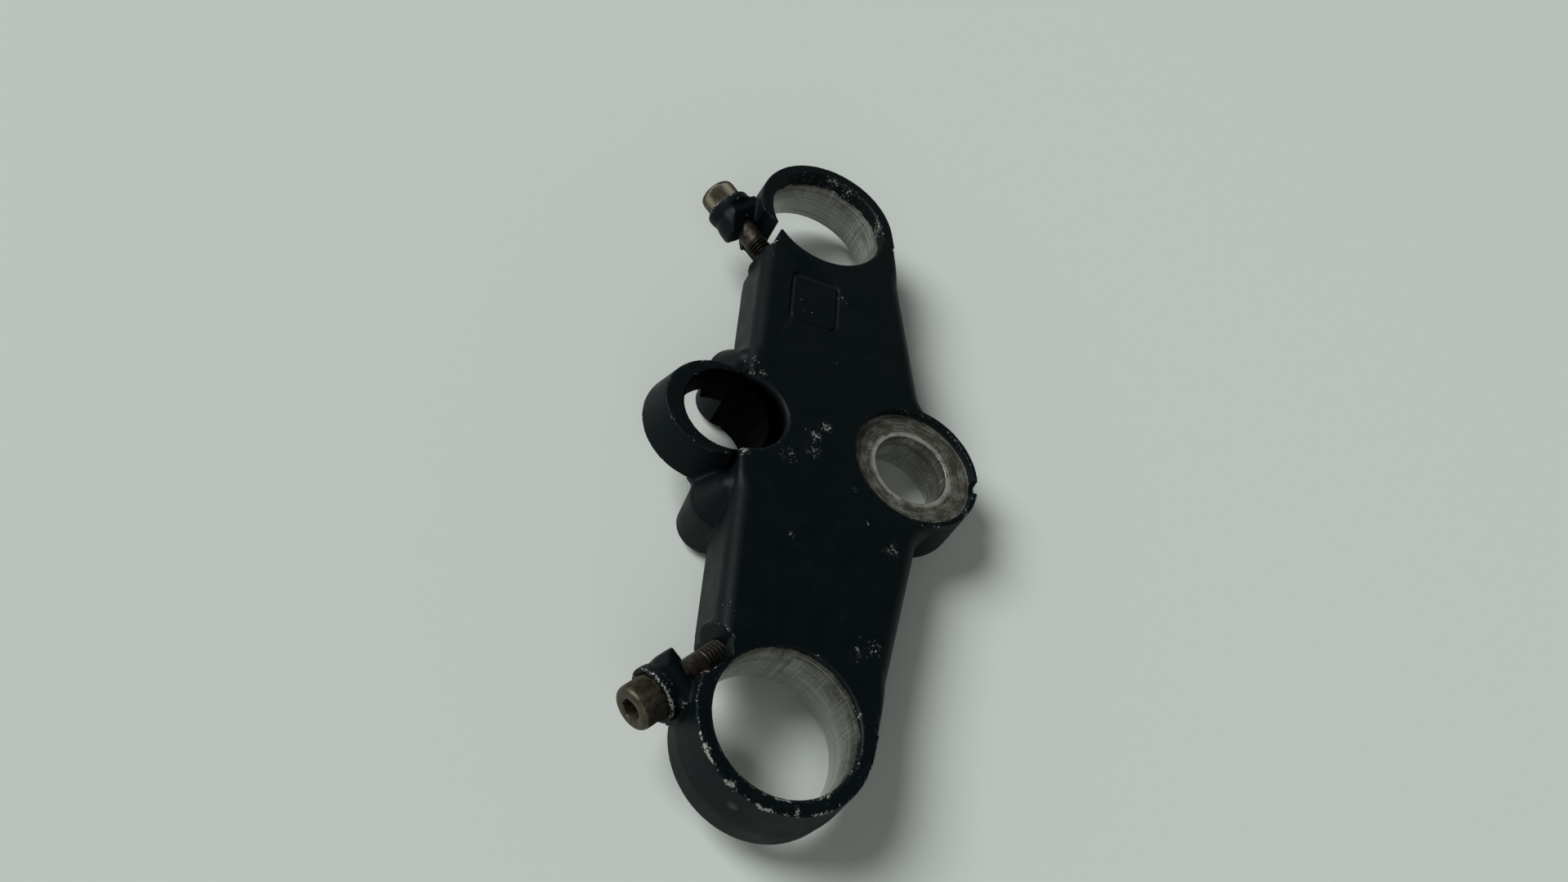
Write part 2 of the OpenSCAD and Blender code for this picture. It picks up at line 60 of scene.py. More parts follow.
print("nodes:", sorted(frame["nodes"]))

# %% [markdown]
# ## Places taken from the record
# The bores are the surfaces that the finish has to follow exactly: bare metal starts
# where a cutter has been. Their axes and radii could be typed in again, but the record
# already states them as mounts, so they are read from there and can't drift apart.

# %% Name the bores
fork_x, fork_y = (v / MM for v in mounts["fork_clamp_right"]["pos_m"][:2])
fork_r = mounts["fork_clamp_right"]["dims"]["r_mm"]
stem_r = mounts["stem_bore"]["dims"]["r_mm"]
lock_y = mounts["lock_bore"]["pos_m"][1] / MM
lock_r = mounts["lock_bore"]["dims"]["r_mm"]
lobe_x = mounts["lock_bolt_holes"]["dims"]["spacing_x_mm"] / 2
lobe_y = mounts["lock_bolt_holes"]["pos_m"][1] / MM
low, high = (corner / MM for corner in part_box("yoke_casting"))
top_z = high.z

# These are no mounts, so they are typed in from the part's source.
clamp_height = 22
underside_z = top_z - clamp_height
parting_height = 8.2
counterbore_r = 21.25
ring_r = 26.1
front_roll_y = 54.3
screw_angle = math.radians(43.7)
screw_reach = 26.8
screw_z = underside_z + 11.5
badge_x = 55.2
badge_y = 39.5
print("fork axes at x = +-%.2f, y = %.2f, top face at z = %.2f mm" % (fork_x, fork_y, top_z))

# %% [markdown]
# ## Two helpers for materials
# A hex colour is easy to compare with a photograph, but a shader works in linear light,
# so one function converts it. The other adds a node with its settings and its links in
# one line, which keeps a material readable as a list of what it is made of.

# %% Colour and node helpers
def linear(hex_colour):
    channels = [int(hex_colour[i:i + 2], 16) / 255 for i in (1, 3, 5)]
    return tuple(((c + 0.055) / 1.055) ** 2.4 if c > 0.04045 else c / 12.92 for c in channels) + (1,)


def add(tree, kind, inputs=None, out=0, **settings):
    """Adds a shader node and returns one output. Sockets in inputs are linked, values are set."""
    node = tree.nodes.new("ShaderNode" + kind)
    for name, value in settings.items():
        setattr(node, name, value)
    for name, value in (inputs or {}).items():
        if isinstance(value, bpy.types.NodeSocket):
            tree.links.new(value, node.inputs[name])
        else:
            node.inputs[name].default_value = value
    return node.outputs[out] if node.outputs else node


def new_material(name):
    material = bpy.data.materials.new(name)
    material.use_nodes = True
    material.node_tree.nodes.clear()
    return material, material.node_tree


# %% [markdown]
# ## The camera
# The photograph was taken from above and in front of the left fork, with the camera
# turned a little. Its place was solved from the round bores, so it is set by where it
# stands, which way it looks and which way its right side points.

# %% Set the camera
camera_at = Vector((-241.3, 148.6, 286.8)) * MM
camera_look = Vector((0.6120, -0.2697, -0.7435)).normalized()
camera_right = Vector((0.0762, -0.9156, 0.3949)).normalized()
image_width = 1920
focal_pixels = 1516.1
sensor_mm = 36

camera = bpy.data.cameras.new("camera")
camera.sensor_width = sensor_mm
camera.lens = focal_pixels / image_width * sensor_mm
camera.clip_start = 0.01
camera_object = bpy.data.objects.new("camera", camera)
camera_up = camera_right.cross(camera_look)
rotation = Matrix((camera_right, camera_up, -camera_look)).transposed()
camera_object.matrix_world = Matrix.Translation(camera_at) @ rotation.to_4x4()
bpy.context.scene.collection.objects.link(camera_object)
bpy.context.scene.camera = camera_object
print("lens %.1f mm, %.0f mm from the stem" % (camera.lens, camera_at.length / MM))

# %% [markdown]
# ## The floor and the light
# The clamp lies on its stem boss and its two hanging bosses, so the floor is a plane
# through those contacts and leans a little in the clamp's own frame. A wide soft lamp
# in front of the clamp throws a soft shadow behind it. Small studio lamps would leave a
# bright patch on the floor, so both lamps are far ones that light it evenly. A room with
# pale walls and a dark ceiling fills in the rest: the black enamel shows the walls in its
# rolled edges and the ceiling in its flat top.

# %% Lay the floor through the contacts
boss_contact = Vector((0, -21.1, underside_z)) * MM
bolt_boss_contact = Vector((0, 48.7, low.z)) * MM
lean = math.atan2(boss_contact.z - bolt_boss_contact.z, bolt_boss_contact.y - boss_contact.y)
floor_up = Vector((0, math.sin(lean), math.cos(lean)))
floor_half = 3.0
floor_sink = 0.0002

board, tree = new_material("matt_white_board")
shader = add(tree, "BsdfPrincipled", {
    "Base Color": linear("#c9d0ca"),
    "Roughness": 0.75,
    "Specular IOR Level": 0.2,
})
add(tree, "OutputMaterial", {"Surface": shader})

corners = [(-1, -1), (1, -1), (1, 1), (-1, 1)]
floor_mesh = bpy.data.meshes.new("floor")
floor_mesh.from_pydata([(x * floor_half, y * floor_half, 0) for x, y in corners], [], [(0, 1, 2, 3)])
floor_mesh.materials.append(board)
floor = bpy.data.objects.new("floor", floor_mesh)
floor.matrix_world = (
    Matrix.Translation(boss_contact - floor_up * floor_sink)
    @ Matrix.Rotation(-lean, 4, "X")
)
bpy.context.scene.collection.objects.link(floor)
print("the clamp leans %.1f degrees on the floor" % math.degrees(lean))


# %% Hang the lamps and light the room
def hang_lamp(name, away, spread_deg, strength):
    """A far, wide and so soft lamp, at the vector away from the clamp and turned to it."""
    lamp = bpy.data.lights.new(name, "SUN")
    lamp.angle = math.radians(spread_deg)
    lamp.energy = strength
    lamp_object = bpy.data.objects.new(name, lamp)
    lamp_object.matrix_world = (
        Matrix.Translation(Vector(away))
        @ (-Vector(away)).to_track_quat("-Z", "Y").to_matrix().to_4x4()
    )
    bpy.context.scene.collection.objects.link(lamp_object)


hang_lamp("soft_key", (0.4, 1.6, 1.25), 32, 2.75)
hang_lamp("soft_fill", (-0.9, 0.2, 0.7), 45, 0.6)

world = bpy.data.worlds.new("pale_room")
world.use_nodes = True
world.node_tree.nodes.clear()
direction = add(world.node_tree, "TexCoord", out="Generated")
_, forwards, upwards = add(world.node_tree, "SeparateXYZ", {0: direction}).node.outputs
walls = add(world.node_tree, "MapRange", {"Value": forwards, "From Min": -1, "To Min": 0.8, "To Max": 0.3})
ceiling = 0.07
strength = add(world.node_tree, "MapRange", {
    "Value": upwards, "From Min": 0.1, "From Max": 0.6, "To Min": walls, "To Max": ceiling,
})
room = add(world.node_tree, "Background", {"Color": linear("#e4e8e5"), "Strength": strength})
add(world.node_tree, "OutputWorld", {"Surface": room})
bpy.context.scene.world = world
bpy.context.scene.view_settings.view_transform = "Standard"
print("lamps:", len(bpy.data.lights), "and the room:", world.name)

# %% [markdown]
# ## The casting
# A casting has no sharp inner corner: the pattern maker fills each one with wax, and the
# enamel rounds what is left. Bevels on the exact solid would have to cross hundreds of
# curved edges, so the form is turned into fine voxels and relaxed instead: a little
# everywhere, and then outwards only, which fills corners and leaves ridges proud. Where a
# cutter has been the edges are crisp, so there the form relaxes half as much and no
# corner is filled.

# %% Turn the casting into a fine even mesh
def coordinates(mesh):
    co = np.empty(len(mesh.vertices) * 3)
    mesh.vertices.foreach_get("co", co)
    return co.reshape(-1, 3) / MM


def set_coordinates(mesh, co):
    mesh.vertices.foreach_set("co", (co * MM).ravel())
    mesh.update()


def vertex_normals(mesh):
    normals = np.empty(len(mesh.vertices) * 3)
    mesh.vertex_normals.foreach_get("vector", normals)
    return normals.reshape(-1, 3)


def edge_ends(mesh):
    ends = np.empty(len(mesh.edges) * 2, np.int32)
    mesh.edges.foreach_get("vertices", ends)
    return ends.reshape(-1, 2).T


def apply_modifiers(piece):
    graph = bpy.context.evaluated_depsgraph_get()
    result = bpy.data.meshes.new_from_object(piece.evaluated_get(graph))
    piece.modifiers.clear()
    piece.data = result


voxel = 0.38
casting = bpy.data.objects.new("clamp_casting", frame["nodes"]["yoke_casting"].data.copy())
bpy.context.scene.collection.objects.link(casting)
remesh = casting.modifiers.new("voxels", "REMESH")
remesh.mode = "VOXEL"
remesh.voxel_size = voxel * MM
apply_modifiers(casting)
points = coordinates(casting.data)
print("casting in voxels of %.2f mm: %d points" % (voxel, len(points)))


# %% Say where a cutter has been
def smoothstep(start, end, value):
    t = np.clip((value - start) / (end - start), 0, 1)
    return t * t * (3 - 2 * t)


def screw_frame(co):
    """Places along the nearer pinch screw, across it from the fork axis, and off its axis."""
    x = np.abs(co[:, 0]) - fork_x
    y = co[:, 1] - fork_y
    along = x * math.cos(screw_angle) + y * math.sin(screw_angle)
    across = -x * math.sin(screw_angle) + y * math.cos(screw_angle)
    return along, across, np.hypot(across - screw_reach, co[:, 2] - screw_z)


def machined(co):
    """1 where a cutter has been, 0 on the cast skin, with a narrow step between."""
    along, _, off_screw = screw_frame(co)
    x = np.abs(co[:, 0])
    far = 99
    distances = [
        # The fork bores, then the stem bore with its counterbore.
        np.abs(np.hypot(x - fork_x, co[:, 1] - fork_y) - fork_r) - 0.5,
        np.hypot(x, co[:, 1]) - counterbore_r - 0.3,
        # The mouths of the tapped holes in the two hanging bosses.
        np.hypot(x - lobe_x, co[:, 1] - lobe_y) - 4.2 + far * (co[:, 2] > underside_z + 4),
        # The screw holes, and the spot face under each screw head.
        off_screw - 5.3,
        off_screw - 7.3 + far * (along < 22),
        # The drain notch behind the stem.
        np.maximum(np.abs(x + 1.3 * np.sign(co[:, 0])) - 3, co[:, 1] + 17),
    ]
    return 1 - smoothstep(0, 0.7, np.minimum.reduce(distances))


cast_skin = 1 - machined(points)
print("share of the skin that was cut: %.2f" % (1 - cast_skin.mean()))


# %% Shape what the solids leave square
roll_r = 5
wall_slope = math.radians(10.16)


def rear_wall_frame(co):
    """Places along the rear wall from where the ring touches it, and behind its face."""
    x = np.abs(co[:, 0]) - fork_x
    y = fork_y - co[:, 1]
    inward = y * math.sin(wall_slope) - x * math.cos(wall_slope)
    behind = x * math.sin(wall_slope) + y * math.cos(wall_slope) - ring_r
    return inward, behind


def move_behind(co, push):
    co[:, 0] += push * math.sin(wall_slope) * np.sign(co[:, 0])
    co[:, 1] -= push * math.cos(wall_slope)


def tighten_roll(out, up, tight):
    """How far to scale a rolled edge outwards, so that it ends as a ridge where tight is 1."""
    reach = np.maximum(np.hypot(out, up), 1e-6)
    on_roll = (out > 0) & (up > 0) & (np.abs(reach - roll_r) < 0.5)
    power = 2 + 4 * tight
    square = (np.abs(out / reach) ** power + np.abs(up / reach) ** power) ** (-1 / power)
    return np.where(on_roll, square - 1, 0)


def fade_roll_at_ring(co):
    """The rolled rear edge tightens to a ridge where it runs into each fork's ring."""
    inward, behind = rear_wall_frame(co)
    up = co[:, 2] - top_z + roll_r
    tight = (1 - smoothstep(9, 26, inward)) * (inward > 6)
    more = tighten_roll(behind + roll_r, up, tight)
    move_behind(co, (behind + roll_r) * more)
    co[:, 2] += up * more


def ease_wall_into_ring(co):
    """The rear wall swells to meet the ring's widest part, instead of passing behind it."""
    inward, behind = rear_wall_frame(co)
    height = co[:, 2] - underside_z
    swell = np.where(
        height < parting_height,
        0.6 + 0.4 * height / parting_height,
        1 - (height - parting_height) / (clamp_height - parting_height),
    )
    wanted = swell * (1 - smoothstep(0, 21, inward)) * (inward > -0.2)
    move_behind(co, np.maximum(wanted - np.maximum(behind, 0), 0) * smoothstep(-1.6, -0.2, behind))


def fade_roll_at_lock(co):
    """The rolled front edge tightens to a ridge where it runs into the lock ring."""
    out = co[:, 1] - front_roll_y
    up = co[:, 2] - top_z + roll_r
    x = np.abs(co[:, 0])
    more = tighten_roll(out, up, (1 - smoothstep(17, 29, x)) * (x > 14.5))
    co[:, 1] += out * more
    co[:, 2] += up * more


def neck_ear(co):
    """The ear sweeps in between its ridge and the round boss under the screw head."""
    along, across, off_screw = screw_frame(co)
    neck = np.exp(-((along - 18.7) / 1.7) ** 2) * smoothstep(21, 25, across)
    depth = 0.5 * neck * (off_screw > 5.6) * (off_screw < 14) / np.maximum(off_screw, 1)
    move = (across - screw_reach) * depth
    co[:, 0] += move * math.sin(screw_angle) * np.sign(co[:, 0])
    co[:, 1] -= move * math.cos(screw_angle)
    co[:, 2] -= (co[:, 2] - screw_z) * depth


for shape in (fade_roll_at_ring, ease_wall_into_ring, fade_roll_at_lock, neck_ear):
    before = points.copy()
    shape(points)
    print("%s: up to %.1f mm" % (shape.__name__, np.abs(points - before).max()))


# %% Relax the skin and fill its corners
smallest_rise = 0.003


def relax(co, ends, freedom, rounds, outwards=None):
    """Moves points towards the middle of their neighbours, or only outwards along a normal."""
    first, second = ends
    n = len(co)
    count = np.bincount(first, minlength=n) + np.bincount(second, minlength=n)
    for _ in range(rounds):
        total = np.stack([
            np.bincount(first, co[second, k], n) + np.bincount(second, co[first, k], n)
            for k in range(3)
        ], axis=1)
        step = total / count[:, None] - co
        if outwards is not None:
            rise = np.maximum((step * outwards).sum(1) - smallest_rise, 0)
            step = rise[:, None] * outwards
        co = co + 0.5 * freedom[:, None] * step
    return co


def rounds_for(radius_mm):
    """A form spreads with the square root of the rounds, so a radius needs its square."""
    return round(2 * (radius_mm / voxel) ** 2)


rounding_mm = 0.6
fillet_mm = 1.3
rounds_per_normal = 8
ends = edge_ends(casting.data)
points = relax(points, ends, 0.5 + 0.5 * cast_skin, rounds_for(rounding_mm))
fill_left = rounds_for(fillet_mm)
while fill_left > 0:
    set_coordinates(casting.data, points)
    normals = vertex_normals(casting.data)
    points = relax(points, ends, cast_skin, min(rounds_per_normal, fill_left), normals)
    fill_left -= rounds_per_normal
print("relaxed with %d points" % len(points))


# %% True up the bores and press in the badge frame
def snap_to_bore(co, centre_x, centre_y, radius, low_z, high_z, reach=0.3):
    """Puts each point that is within reach of a bore's wall exactly on it."""
    out = np.hypot(co[:, 0] - centre_x, co[:, 1] - centre_y)
    near = (np.abs(out - radius) < reach) & (co[:, 2] > low_z) & (co[:, 2] < high_z)
    scale = np.where(near, radius / np.maximum(out, 1), 1)
    co[:, 0] = centre_x + (co[:, 0] - centre_x) * scale
    co[:, 1] = centre_y + (co[:, 1] - centre_y) * scale


def press_badge_frame(co):
    """A soft groove of 1.3 mm round a bare field, as an embossing die leaves it."""
    half_l, half_w, corner_r = 10.7, 8.4, 2.4
    dx = np.abs(co[:, 0] - badge_x) - (half_l - corner_r)
    dy = np.abs(co[:, 1] - badge_y) - (half_w - corner_r)
    outside = np.hypot(np.maximum(dx, 0), np.maximum(dy, 0)) + np.minimum(np.maximum(dx, dy), 0)
    from_line = np.abs(outside - corner_r)
    near = (from_line < 2.5) & (co[:, 2] > top_z - 1.5)
    groove = top_z - 0.85 * (1 - smoothstep(0.3, 0.85, from_line))
    co[:, 2] = np.where(near, groove, co[:, 2])


def true_bores(co):
    """Snaps every bore, which relaxing and thinning the mesh both pull a little off round."""
    for side in (-1, 1):
        snap_to_bore(co, side * fork_x, fork_y, fork_r, underside_z + 0.6, top_z - 0.6)
    snap_to_bore(co, 0, 0, stem_r, underside_z + 5.6, -0.1)
    snap_to_bore(co, 0, 0, counterbore_r, 0.2, top_z - 0.2)
    snap_to_bore(co, 0, lock_y, lock_r, low.z + 1, top_z - 7, reach=0.6)


true_bores(points)
press_badge_frame(points)
points = np.clip(points, low, high)
set_coordinates(casting.data, points)
print("bores trued and the badge frame pressed in")


# %% Measure how proud each place is, then thin the mesh out
def proudness(mesh, ends):
    """How fast the normals fan out at each point, per millimetre: positive on a proud edge."""
    co = coordinates(mesh)
    normals = vertex_normals(mesh)
    first, second = ends
    span = co[second] - co[first]
    fan = ((normals[second] - normals[first]) * span).sum(1) / np.maximum((span ** 2).sum(1), 1e-4)
    count = np.bincount(ends.ravel(), minlength=len(co))
    return (np.bincount(first, fan, len(co)) + np.bincount(second, fan, len(co))) / count


def spread(value, ends, reach_mm):
    """Averages a number over the neighbours until it has spread over reach_mm."""
    first, second = ends
    n = len(value)
    count = np.bincount(ends.ravel(), minlength=n)
    for _ in range(max(1, round((reach_mm / voxel) ** 2))):
        near = np.bincount(first, value[second], n) + np.bincount(second, value[first], n)
        value = 0.5 * value + 0.5 * near / count
    return value


edge = smoothstep(0.1, 0.55, spread(proudness(casting.data, ends), ends, 0.4))
near_edge = smoothstep(0.05, 0.4, spread(edge, ends, 1.5))
fine_tree = kdtree.KDTree(len(points))
for i, point in enumerate(points):
    fine_tree.insert(point, i)
fine_tree.balance()

most_triangles = 190000
casting.data.calc_loop_triangles()
thin = casting.modifiers.new("thin", "DECIMATE")
thin.ratio = min(1, most_triangles / len(casting.data.loop_triangles))
apply_modifiers(casting)
casting.data.calc_loop_triangles()
casting.data.shade_smooth()
thin_points = coordinates(casting.data)
nearest = np.array([fine_tree.find(point)[1] for point in thin_points])
true_bores(thin_points)
thin_points = np.clip(thin_points, low, high)
set_coordinates(casting.data, thin_points)
print("casting: %d triangles, %.0f%% of its points on edges" % (
    len(casting.data.loop_triangles), 100 * (edge[nearest] > 0.5).mean()))


# %% Give the cut faces the normals of the true bore
# Thinning leaves long triangles, which catch the light one by one on bare metal. The true
# normals are meant to even that out, but upright streaks still show from low down.
on_surface_mm = 0.02
normals = vertex_normals(casting.data)
for centre_x, centre_y, radius, low_z, high_z in (
    (fork_x, fork_y, fork_r, underside_z + 1, top_z - 1),
    (-fork_x, fork_y, fork_r, underside_z + 1, top_z - 1),
    (0, 0, stem_r, underside_z + 6, -0.5),
):
    inwards = np.array([centre_x, centre_y, 0]) - thin_points * (1, 1, 0)
    out = np.hypot(inwards[:, 0], inwards[:, 1])
    between = (thin_points[:, 2] > low_z) & (thin_points[:, 2] < high_z)
    on_wall = (np.abs(out - radius) < on_surface_mm) & between
    normals[on_wall] = inwards[on_wall] / out[on_wall, None]
for level in (top_z, 0):
    on_face = (np.abs(thin_points[:, 2] - level) < on_surface_mm) & (normals[:, 2] > 0.99)
    normals[on_face] = (0, 0, 1)
casting.data.normals_split_custom_set_from_vertices(normals.tolist())
print("trued normals on cut and flat faces")

# %% [markdown]
# ## Where the enamel has gone
# Enamel wears through on proud edges first, and most where the clamp was handled: round
# the left fork's rim, beside the slots and where the lock ring meets the bridge. Each
# point carries a number: highest on a proud edge, lower close to one, and raised in the
# worn places listed here. The material breaks that number up into chips.

# %% Mark the worn edges
# Each place: x, y, z of its middle, its radius, and how worn it is, all but the last in mm.
worn_edges = [
    (-103, 62, 3, 8, 0.75), (-111, 58, 3, 7, 0.9), (-120, 49, 3, 7, 0.9),
    (-124, 38, 3, 9, 1.0), (-120, 24, 3, 7, 0.85), (-110, 12, 3, 9, 0.7),
    (-94, 12, 3, 8, 0.7), (-82, 25, 3, 11, 0.55), (118, 33, 3, 8, 0.8),
    (105, 17, 3, 8, 0.75), (76, 58, 2, 6, 1.0), (-76, 58, 2, 7, 0.95),
    (84, 62, 0, 8, 0.8), (-88, 64, 0, 9, 0.75), (24, 60, 1, 6, 0.95),
    (17, 56, 2, 5, 1.0), (-15, 59, 2, 5, 1.0), (-22, 57, 0, 6, 0.8),
    (10, 75, 0, 9, 0.75), (-11, 73, 0, 8, 0.8), (-26, 0, 3, 7, 0.85),
    (-20, -10, 3, 7, 0.95), (-10, -20, 3, 8, 0.8), (12, -17, 3, 9, 0.7),
    (-98, 70, -2, 11, 0.85), (-90, 76, -4, 9, 0.75), (-108, 68, -4, 8, 0.75),
    (98, 70, -2, 11, 0.9), (90, 76, -4, 9, 0.9),
]
everywhere = 0.4
from_badge = np.abs(thin_points - (badge_x, badge_y, 0))
on_badge = (from_badge[:, 0] < 13) & (from_badge[:, 1] < 11)
place_wear = np.where(on_badge, 0, everywhere)
for x, y, z, radius, amount in worn_edges:
    distance = np.sqrt(((thin_points - (x, y, z)) ** 2).sum(1))
    place_wear = np.maximum(place_wear, amount * (1 - smoothstep(0.5 * radius, radius, distance)))
wear = place_wear * (0.6 * edge[nearest] + 0.4 * near_edge[nearest])
casting.data.attributes.new("wear", "FLOAT", "POINT").data.foreach_set("value", wear)
print("points on worn edges: %d" % (wear > 0.4).sum())

# %% [markdown]
# ## The casting's finish
# Outside, the clamp is satin black enamel on cast aluminium: a dielectric coat with a
# faint blue-green cast and a fine orange peel. In the fork bores, on the counterbore's
# floor and in the stem bore the alloy is bare, a metal with fine turning marks, dulled
# and stained by grease and age; the counterbore's floor is also painted darker, a painted
# shade for the dark ceiling it mirrors. Both are one material here, because the enamel
# ends in a ragged line inside the bores, and a mask from the distance to each axis draws
# that line better than faces could.

# %% Where bare alloy shows
enamel, tree = new_material("satin_black_enamel_on_cast_alloy")
place = add(tree, "TexCoord", out="Object")
mm = add(tree, "VectorMath", {0: place, "Scale": 1 / MM}, operation="SCALE")
x, y, z = add(tree, "SeparateXYZ", {0: mm}).node.outputs
flat = add(tree, "VectorMath", {0: mm, 1: (1, 1, 0)}, operation="MULTIPLY")
mirrored = add(tree, "VectorMath", {0: flat}, operation="ABSOLUTE")
to_fork = add(tree, "VectorMath", {0: mirrored, 1: (fork_x, fork_y, 0)}, out=1, operation="DISTANCE")
to_stem = add(tree, "VectorMath", {0: flat}, out=1, operation="LENGTH")

# Patches of 6 mm, flakes of 0.9 mm and grain of 0.35 mm break up every even tone.
patchy = add(tree, "TexNoise", {"Vector": mm, "Scale": 1 / 6, "Detail": 4, "Roughness": 0.6})
fine = add(tree, "TexNoise", {"Vector": mm, "Scale": 1 / 0.9, "Detail": 6, "Roughness": 0.7})
grain = add(tree, "TexNoise", {"Vector": mm, "Scale": 1 / 0.35, "Detail": 3, "Roughness": 0.6})

# The enamel reaches a ragged millimetre or two into the left bore, and deeper in the right.
in_fork = add(tree, "Math", {0: to_fork, 1: fork_r + 0.16}, operation="LESS_THAN")
deeper = add(tree, "MapRange", {"Value": x, "From Min": 76, "From Max": 112, "To Max": 3.6})
reach = add(tree, "Math", {0: z, 1: deeper}, operation="ADD")
reach = add(tree, "Math", {0: patchy, 1: 4.2, 2: reach}, operation="MULTIPLY_ADD")
reach = add(tree, "Math", {0: fine, 1: 1.6, 2: reach}, operation="MULTIPLY_ADD")
below = add(tree, "Math", {0: reach, 1: top_z + 1.1}, operation="LESS_THAN")
fork_bare = add(tree, "Math", {0: in_fork, 1: below}, operation="MULTIPLY")
in_stem = add(tree, "Math", {0: to_stem, 1: counterbore_r - 0.1}, operation="LESS_THAN")
low_stem = add(tree, "Math", {0: z, 1: 0.25}, operation="LESS_THAN")
stem_bare = add(tree, "Math", {0: in_stem, 1: low_stem}, operation="MULTIPLY")
bare = add(tree, "Math", {0: fork_bare, 1: stem_bare}, operation="MAXIMUM")
on_floor = add(tree, "Math", {0: to_stem, 1: stem_r + 0.15}, operation="GREATER_THAN")
on_floor = add(tree, "Math", {0: on_floor, 1: stem_bare}, operation="MULTIPLY")
print("masks so far:", len(tree.nodes), "nodes")

# %% Where the enamel is chipped
# Each place on the top: x, y of its middle and its radius in mm, and how worn it is.
worn_faces = [
    (3, 32, 3.6, 0.42), (-2, 35, 3.6, 0.34), (-8, 36, 4.5, 0.27), (-12.3, 44, 5, 0.26),
    (-70, 12.5, 5, 0.25), (-36, 7.5, 6, 0.25), (-73, 17, 4, 0.25), (-40.7, 40.3, 1.8, 0.32),
    (-28.4, 16.8, 1.8, 0.3), (-17.8, 21.5, 1.7, 0.3), (60.5, 29.5, 4, 0.22),
    (-125.3, 41, 2.8, 0.34), (-119.5, 51, 2.4, 0.3), (-122.5, 32, 2.2, 0.3), (-112, 58.4, 2, 0.28),
    (16.5, 54.8, 2.4, 0.34), (21, 57, 2.4, 0.3), (-12, 73.6, 1.8, 0.3), (-16.2, 57, 2, 0.3),
]
spots = 0.0
for px, py, radius, amount in worn_faces:
    away = add(tree, "VectorMath", {0: mm, 1: (px, py, top_z)}, out=1, operation="DISTANCE")
    spot = add(tree, "MapRange", {
        "Value": away, "From Min": 0.3 * radius, "From Max": radius, "To Min": amount, "To Max": 0,
    })
    spots = add(tree, "Math", {0: spot, 1: spots}, operation="MAXIMUM")
wear = add(tree, "Attribute", out="Fac", attribute_name="wear")
clusters = add(tree, "MapRange", {"Value": patchy, "From Min": 0.38, "From Max": 0.6, "To Min": 0.4})
edge_level = add(tree, "Math", {0: wear, 1: clusters}, operation="MULTIPLY")
flakes = add(tree, "MapRange", {"Value": fine, "From Min": 0.34, "From Max": 0.66, "To Max": 0.6})
crumbs = add(tree, "MapRange", {"Value": grain, "From Min": 0.34, "From Max": 0.66, "To Max": 0.25})
level = add(tree, "Math", {0: edge_level, 1: 0.55, 2: spots}, operation="MULTIPLY_ADD")
level = add(tree, "Math", {0: level, 1: flakes}, operation="ADD")
level = add(tree, "Math", {0: level, 1: crumbs}, operation="ADD")
chips = add(tree, "MapRange", {"Value": level, "From Min": 0.84, "From Max": 0.9})

# A few specks of dust and pinholes lie over the open faces.
cells = add(tree, "TexVoronoi", {"Vector": mm, "Scale": 1 / 4.5})
pick = add(tree, "SeparateColor", {0: cells.node.outputs["Color"]})
speck_r = add(tree, "MapRange", {"Value": pick, "From Min": 0.6, "From Max": 1, "To Max": 0.06})
specks = add(tree, "Math", {0: cells, 1: speck_r}, operation="LESS_THAN")
specks = add(tree, "Math", {0: specks, 1: 0.6}, operation="MULTIPLY")
chips = add(tree, "Math", {0: chips, 1: specks}, operation="MAXIMUM")
print("worn places on the top:", len(worn_faces))

# %% Colour the enamel and the chips
dust = add(tree, "MapRange", {"Value": patchy, "From Min": 0.5, "From Max": 0.8, "To Max": 0.3})
coat = add(tree, "Mix", {0: dust, 6: linear("#020a0d"), 7: linear("#0b1316")}, out=2, data_type="RGBA")
raw = add(tree, "Mix", {0: fine, 6: linear("#5d605b"), 7: linear("#a9ada6")}, out=2, data_type="RGBA")
skin = add(tree, "Mix", {0: chips, 6: coat, 7: raw}, out=2, data_type="RGBA")

# One pale rub mark, about 3 mm across, lies on the left ring's outer wall.
from_rub = add(tree, "VectorMath", {0: mm, 1: (-122.4, 47.7, -3.3)}, out=1, operation="DISTANCE")
rub = add(tree, "MapRange", {
    "Value": from_rub, "From Min": 0.5, "From Max": 2, "To Min": 0.8, "To Max": 0,
})
skin = add(tree, "Mix", {0: rub, 6: skin, 7: linear("#3a403f")}, out=2, data_type="RGBA")

# The lock bore is painted dead black below its rim, most on its wall beside the bridge: a painted shade
# for the dark inside of the bore.
to_lock = add(tree, "VectorMath", {0: flat, 1: (0, lock_y, 0)}, out=1, operation="DISTANCE")
lock_shade_reach = add(tree, "MapRange", {
    "Value": y, "From Min": 60, "From Max": 62, "To Min": lock_r + 4.4, "To Max": lock_r + 0.6,
})
in_lock = add(tree, "Math", {0: to_lock, 1: lock_shade_reach}, operation="LESS_THAN")
under_rim = add(tree, "MapRange", {
    "Value": z, "From Min": top_z - 3, "From Max": top_z - 0.8, "To Min": 1, "To Max": 0,
})
lock_painted_shade = add(tree, "Math", {0: in_lock, 1: under_rim}, operation="MULTIPLY")
skin = add(tree, "Mix", {0: lock_painted_shade, 6: skin, 7: linear("#010202")}, out=2, data_type="RGBA")

